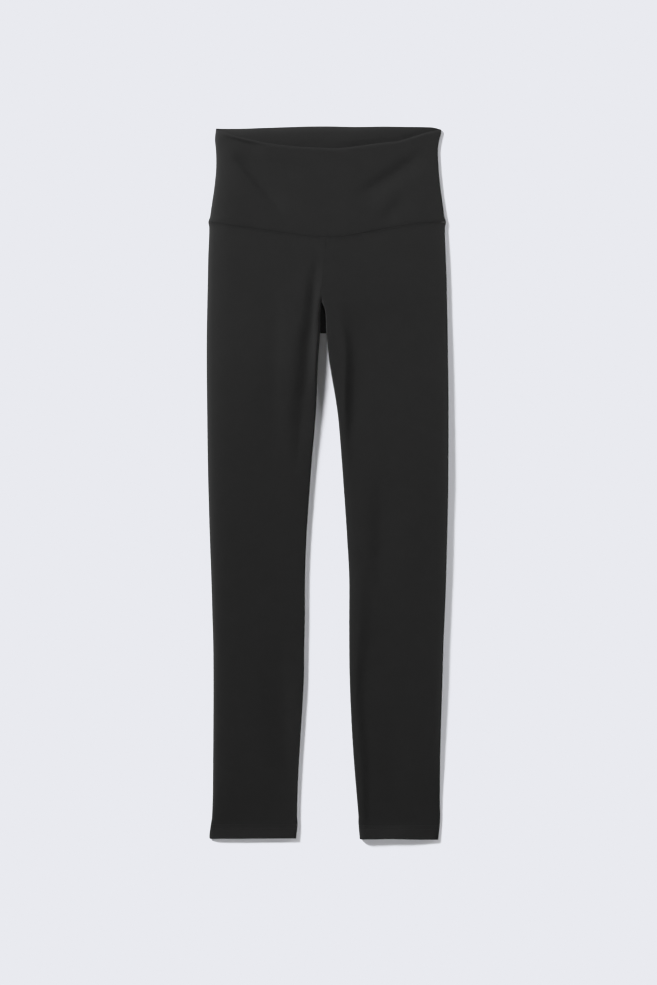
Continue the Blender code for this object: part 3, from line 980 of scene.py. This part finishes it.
def make_gusset(material):
    """The strip folded across the crotch, sunk between the legs' rolled edges."""
    middle = GUSSET_TOP / 2
    shares = np.linspace(0, 1, GUSSET_COLUMNS)
    grids = []
    for turn in (middle, middle - GUSSET_CLOTH):
        rows = []
        for height, z in gusset_path(turn, middle, CROTCH + middle):
            left = outline(height, "left_inner") - SEAM_GAP / 2
            right = outline(height, "right_inner") + SEAM_GAP / 2
            sag = GUSSET_SAG * np.sin(math.pi * shares) * (z > middle)
            rows.append([(blend(right, left, share), height, z - dip) for share, dip in zip(shares, sag)])
        grids.append(np.array(rows))
    outer, inner = grids
    along = along_rows(outer[:, GUSSET_COLUMNS // 2][None])[0]
    cloth_uv = np.stack(np.broadcast_arrays(outer[..., 0], along[:, None]), axis=-1)
    return add_shell("gusset_knit", outer, inner, list(range(len(outer))), 0, cloth_uv, material)


def add_stitch(vertices, faces, centre, out):
    """Adds a stitch, a bent tube along its centre, to a mesh's points and faces."""
    base = len(vertices)
    up = np.array([0.0, 1.0, 0.0])
    corners = range(THREAD_CORNERS)
    for middle, facing, rise in zip(centre, out, STITCH_RISES):
        raised = middle + facing * (THREAD_RADIUS * rise + THREAD_LIFT)
        for corner in corners:
            angle = 2 * math.pi * corner / THREAD_CORNERS
            offset = math.cos(angle) * up + math.sin(angle) * facing
            vertices.append(raised + offset * THREAD_RADIUS)
    for place in range(len(centre) - 1):
        low = base + place * THREAD_CORNERS
        high = low + THREAD_CORNERS
        for corner in corners:
            following = (corner + 1) % THREAD_CORNERS
            faces.append((low + corner, low + following, high + following, high + corner))
    last = base + (len(centre) - 1) * THREAD_CORNERS
    faces.append(tuple(base + corner for corner in reversed(corners)))
    faces.append(tuple(last + corner for corner in corners))


def add_stitches(name, outer, normal, hem, material):
    """Two rows of needle stitches round a hem, each stitch a short bent tube that dips in at both ends."""
    heights = outer[:, 0, 1] - hem
    marks = STITCH_LENGTH * np.array(STITCH_SHARES)
    vertices = []
    faces = []
    for number, needle in enumerate(NEEDLE_ROWS):
        row = int(np.argmin(np.abs(heights - needle)))
        along = along_rows(outer[row : row + 1])[0]
        girth = along[-1]
        count = int(girth // (STITCH_LENGTH + STITCH_GAP))
        for stitch in range(count):
            first = (stitch + STITCH_START + 0.5 * number) * (girth / count) % girth
            at = (first + marks) % girth
            centre, out = (
                np.stack([np.interp(at, along, grid[row, :, axis]) for axis in range(3)], axis=1)
                for grid in (outer, normal)
            )
            out = out / np.linalg.norm(out, axis=1, keepdims=True)
            add_stitch(vertices, faces, centre, out)
    return add_mesh(name, vertices, faces, material)


# ---- Materials ----


class Nodes:
    """Short ways to add shader nodes to a new material."""

    def __init__(self, name):
        self.material = bpy.data.materials.new(name)
        self.material.use_nodes = True
        self.tree = self.material.node_tree
        self.shader = self.tree.nodes["Principled BSDF"]

    def add(self, kind, **settings):
        node = self.tree.nodes.new(kind)
        for name, value in settings.items():
            setattr(node, name, value)
        return node

    def link(self, source, target):
        self.tree.links.new(source, target)

    def math(self, operation, *values):
        node = self.add("ShaderNodeMath", operation=operation)
        for socket, value in zip(node.inputs, values):
            if isinstance(value, (int, float)):
                socket.default_value = value
            else:
                self.link(value, socket)
        return node.outputs[0]

    def pattern(self, kind, place, pattern, **settings):
        """The tone that a pattern gives to each place."""
        node = self.add(kind, **settings)
        node.inputs["Scale"].default_value = pattern.scale
        node.inputs["Detail"].default_value = pattern.detail
        self.link(place.outputs["Object"], node.inputs["Vector"])
        return self.math("MULTIPLY_ADD", node.outputs["Fac"], pattern.strength, pattern.least)

    def colour(self, colour, amount):
        """The base colour, made lighter and darker over the surface by an amount."""
        shade = self.add("ShaderNodeMix", data_type="RGBA", blend_type="MULTIPLY")
        shade.inputs[0].default_value = 1.0
        shade.inputs[6].default_value = colour
        self.link(amount, shade.inputs[7])
        self.link(shade.outputs[2], self.shader.inputs["Base Color"])

    def finish(self, **values):
        """The shader's own plain values, with spaces for the underscores in their names."""
        for name, value in values.items():
            self.shader.inputs[name.replace("_", " ")].default_value = value
        return self.material


def knit_material(name, colour, sheen):
    """Fine single jersey: ribs of V-shaped stitches, with painted shade in the grooves between them, a soft
    uneven tone and a faint sheen.
    """
    nodes = Nodes(name)
    uv = nodes.add("ShaderNodeUVMap", uv_map="cloth")
    split = nodes.add("ShaderNodeSeparateXYZ")
    nodes.link(uv.outputs[0], split.inputs[0])
    ribs = nodes.math("MULTIPLY", split.outputs[0], 1 / (WALE * MILLIMETRE))
    rows = nodes.math("MULTIPLY", split.outputs[1], 1 / (COURSE * MILLIMETRE))
    across = nodes.math("FRACT", ribs)
    from_middle = nodes.math("ABSOLUTE", nodes.math("SUBTRACT", across, 0.5))
    leg = nodes.math("SINE", nodes.math("MULTIPLY", from_middle, 2 * math.pi))
    slant = nodes.math("MULTIPLY", from_middle, LOOP_SLANT)
    wave = nodes.math("SINE", nodes.math("MULTIPLY", nodes.math("ADD", rows, slant), 2 * math.pi))
    loop = nodes.math("MULTIPLY_ADD", wave, LOOP_DEPTH, 1 - LOOP_DEPTH)
    height = nodes.math("MULTIPLY", nodes.math("ABSOLUTE", leg), loop)
    bump = nodes.add("ShaderNodeBump")
    bump.inputs["Strength"].default_value = KNIT_BUMP
    bump.inputs["Distance"].default_value = KNIT_RELIEF * MILLIMETRE
    nodes.link(height, bump.inputs["Height"])
    nodes.link(bump.outputs[0], nodes.shader.inputs["Normal"])

    place = nodes.add("ShaderNodeTexCoord")
    tone = nodes.pattern("ShaderNodeTexNoise", place, CLOUDY)
    grain = nodes.pattern("ShaderNodeTexNoise", place, FIBRE)
    # Painted shade: the colour follows the stitches' heights and is darker in their grooves.
    groove = nodes.math("MULTIPLY_ADD", height, GROOVE_SHADE_RISE, GROOVE_SHADE_TONE)
    nodes.colour(colour, nodes.math("MULTIPLY", nodes.math("MULTIPLY", tone, grain), groove))
    return nodes.finish(Roughness=0.9, Specular_IOR_Level=0.18, Sheen_Weight=sheen, Sheen_Roughness=0.55)


def thread_material():
    """Twisted thread, a little smoother than the knit."""
    nodes = Nodes("thread")
    place = nodes.add("ShaderNodeTexCoord")
    nodes.colour(THREAD_COLOUR, nodes.pattern("ShaderNodeTexWave", place, TWIST, bands_direction="DIAGONAL"))
    return nodes.finish(Roughness=0.6, Specular_IOR_Level=0.3)


def floor_material():
    return Nodes("floor").finish(Base_Color=FLOOR_COLOUR, Roughness=1.0, Specular_IOR_Level=0.0)


# ---- Studio ----


def make_floor():
    half = FLOOR_SIZE / 2
    drop = -FLOOR_DROP * MILLIMETRE
    mesh = bpy.data.meshes.new("floor")
    corners = [(-half, -half, drop), (half, -half, drop), (half, half, drop), (-half, half, drop)]
    mesh.from_pydata(corners, [], [(0, 1, 2, 3)])
    mesh.materials.append(floor_material())
    floor = add_object("floor", mesh)
    return floor


def receivers(name, objects):
    """A collection that a light can be kept to."""
    group = bpy.data.collections.new(name)
    for item in objects:
        group.objects.link(item)
    return group


def add_light(light, place, direction, group):
    lamp = add_object(light.name, light)
    lamp.location = place
    lamp.rotation_euler = Vector(direction).to_track_quat("-Z", "Y").to_euler()
    lamp.light_linking.receiver_collection = group


def light_studio(floor, cloth):
    """The pale floor and the black cloth each have lights of their own, so that both expose well."""
    floor_group = receivers("lit floor", [floor])
    cloth_group = receivers("lit cloth", cloth)
    for sun in FLOOR_SUNS + CLOTH_SUNS:
        light = bpy.data.lights.new(sun.name, "SUN")
        light.energy = sun.strength
        light.angle = math.radians(sun.angle)
        turn, elevation = math.radians(sun.turn), math.radians(sun.elevation)
        direction = (
            -math.cos(turn) * math.cos(elevation),
            -math.sin(turn) * math.cos(elevation),
            -math.sin(elevation),
        )
        add_light(light, SUN_PLACE, direction, floor_group if sun in FLOOR_SUNS else cloth_group)
    for lamp in CLOTH_LAMPS:
        light = bpy.data.lights.new(lamp.name, "AREA")
        light.shape = "RECTANGLE"
        light.size, light.size_y = lamp.size
        light.energy = lamp.power
        add_light(light, lamp.place, Vector(lamp.target) - Vector(lamp.place), cloth_group)
    world = bpy.data.worlds.new("studio")
    bpy.context.scene.world = world
    world.use_nodes = True
    dome = world.node_tree.nodes["Background"]
    dome.inputs["Color"].default_value = (1.0, 1.0, 1.0, 1.0)
    dome.inputs["Strength"].default_value = DOME


def place_camera():
    """Straight above, with a long lens, framed so that a picture's pixel is PIXEL wide on the garment."""
    data = bpy.data.cameras.new("camera")
    data.sensor_width = SENSOR
    data.lens = SENSOR * CAMERA_HEIGHT / (PICTURE[1] * PIXEL * MILLIMETRE)
    data.clip_start = 0.1
    data.clip_end = 100.0
    camera = add_object("camera", data)
    camera.location = (VIEW_CENTRE[0] * MILLIMETRE, VIEW_CENTRE[1] * MILLIMETRE, CAMERA_HEIGHT)
    bpy.context.scene.camera = camera


def set_exposure():
    """A plain response: dark tones stay neutral, and what is brighter than the floor clips to its tone."""
    settings = bpy.context.scene.view_settings
    settings.view_transform = "Standard"
    settings.look = "None"
    settings.use_curve_mapping = True
    mapping = settings.curve_mapping
    mapping.extend = "HORIZONTAL"
    mapping.use_clip = True
    mapping.clip_max_x = RESPONSE[-1].light
    for curve, top in zip(mapping.curves, WHITE):
        while len(curve.points) < len(RESPONSE):
            curve.points.new(0.5, 0.5)
        for point, step in zip(curve.points, RESPONSE):
            point.location = (step.light, step.tone * blend(WHITE[0], top, step.tint))
            point.handle_type = "VECTOR"
    mapping.update()


# ---- The garment ----

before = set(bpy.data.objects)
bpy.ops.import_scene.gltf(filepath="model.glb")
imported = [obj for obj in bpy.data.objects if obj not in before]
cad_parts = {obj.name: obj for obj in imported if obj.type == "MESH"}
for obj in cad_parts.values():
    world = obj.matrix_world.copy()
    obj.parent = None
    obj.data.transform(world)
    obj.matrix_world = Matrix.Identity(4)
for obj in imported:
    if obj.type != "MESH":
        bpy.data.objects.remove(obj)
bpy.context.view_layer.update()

leg_cloth = knit_material("leg knit", CLOTH_COLOUR, CLOTH_SHEEN)
band_cloth = knit_material("waistband knit", CLOTH_COLOUR, CLOTH_SHEEN)
# The gusset's darker colour is painted shade for the recess between the legs.
gusset_cloth = knit_material("gusset knit", GUSSET_SHADED_COLOUR, 0.0)
thread = thread_material()

right_leg, right_outer, right_normal = make_leg(
    "right_leg_knit",
    "right_inner",
    "right_side",
    RIGHT_INNER_ROLL,
    RIGHT_SIDE_ROLL,
    (RIGHT_TROUGH, RIGHT_RIDGE),
    RIGHT_HEM,
    RIGHT_HEM_WAVE,
    leg_cloth,
)
left_leg, left_outer, left_normal = make_leg(
    "left_leg_knit",
    "left_inner",
    "left_side",
    LEFT_INNER_ROLL,
    LEFT_SIDE_ROLL,
    (LEFT_STEP, LEFT_RIDGE),
    LEFT_HEM,
    LEFT_HEM_WAVE,
    leg_cloth,
)
front_band = make_band(
    "waistband_front_knit", FRONT_BAND_COLUMNS, front_seam_height, FRONT_TOP, SEAM_GAP / 2, True, band_cloth
)
back_band = make_band(
    "waistband_back_knit", BACK_BAND_COLUMNS, back_seam_height, BACK_TOP, -SEAM_GAP / 2, False, band_cloth
)
gusset = make_gusset(gusset_cloth)
right_stitches = add_stitches("right_hem_stitches", right_outer, right_normal, RIGHT_HEM, thread)
left_stitches = add_stitches("left_hem_stitches", left_outer, left_normal, LEFT_HEM, thread)

PIECES = (
    (right_leg, "leg_right", "leg_cloth"),
    (left_leg, "leg_left", "leg_cloth"),
    (front_band, "waistband_front", "waistband_cloth"),
    (back_band, "waistband_back", "waistband_cloth"),
    (gusset, "gusset", "gusset_cloth"),
)
for piece, node, slot in PIECES:
    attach(piece, "root")
    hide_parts(node)
for piece in (right_stitches, left_stitches):
    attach(piece, "root")

floor = make_floor()
cloth = [piece for piece, _, _ in PIECES] + [right_stitches, left_stitches]
light_studio(floor, cloth)
place_camera()
set_exposure()
